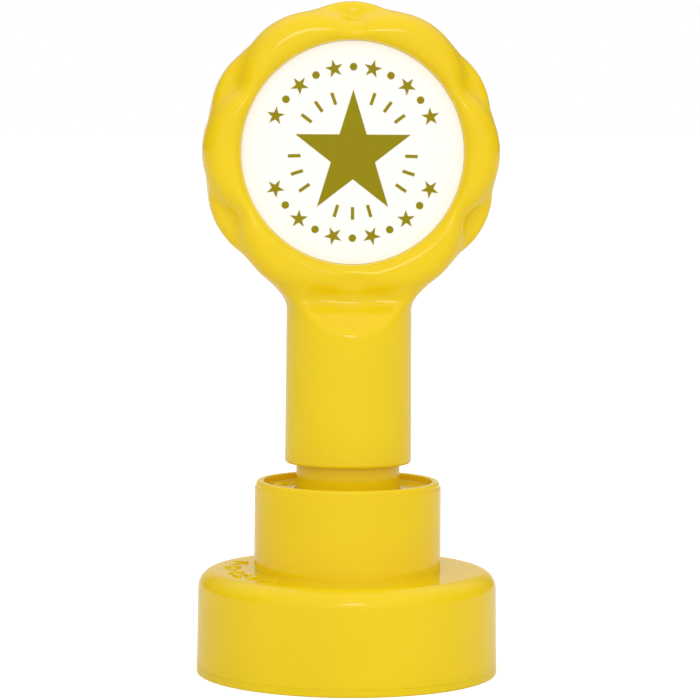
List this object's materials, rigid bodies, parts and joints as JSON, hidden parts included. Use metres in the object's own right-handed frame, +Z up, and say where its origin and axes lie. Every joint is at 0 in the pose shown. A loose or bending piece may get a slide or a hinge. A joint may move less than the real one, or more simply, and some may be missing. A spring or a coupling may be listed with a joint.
{
  "type": "rubber stamp",
  "caption": "Yellow hand stamp with a rosette handle and a round label; pressed, its handle slides down to print, and a spring lifts it. Stands on its dust cap.",
  "frame": {"origin": "centre of the dust cap's flat bottom, where the stamp stands", "axes": "+Z up along the stem's axis, the label faces -Y, +X to the right of the label"},
  "size_m": [0.0342, 0.0342, 0.0767],
  "materials": {
    "yellow_plastic": "glossy moulded",
    "white_label": "smooth coated",
    "olive_ink": "printed ink",
    "natural_plastic": "satin moulded",
    "black_plastic": "fine matte",
    "black_rubber": "matte",
    "die_rubber": "matte, inked",
    "inked_felt": "soaked felt",
    "spring_steel": "drawn, bright"
  },
  "bodies": {
    "cap_unit": {"dust_cap": "yellow_plastic", "cap_seal": "black_rubber"},
    "skirt_unit": {"skirt_body": "yellow_plastic", "guide_sleeve": "yellow_plastic", "sleeve_clip": "spring_steel", "lower_spring_washer": "spring_steel", "return_spring": "spring_steel"},
    "press_unit": {"handle": "yellow_plastic", "back_cover": "yellow_plastic", "label_disc": "white_label", "label_print": "olive_ink", "upper_spring_washer": "spring_steel", "plunger": "natural_plastic", "stop_buffer": "black_rubber", "die_holder": "black_plastic", "holder_screw": "spring_steel", "refill_plugs": "black_rubber", "ink_pad": "inked_felt", "stamp_die": "die_rubber", "die_retaining_ring": "black_plastic"}
  },
  "joints": [
    {"name": "cap_release", "type": "slide", "parent": "cap_unit", "child": "skirt_unit", "axis": [0, 0, 1], "range_m": [0, 0.012]},
    {"name": "handle_press", "type": "slide", "parent": "skirt_unit", "child": "press_unit", "axis": [0, 0, -1], "range_m": [0, 0.0021], "stiffness_N_per_m": 1200, "springref_m": -0.002, "deforming": ["return_spring"]}
  ]
}
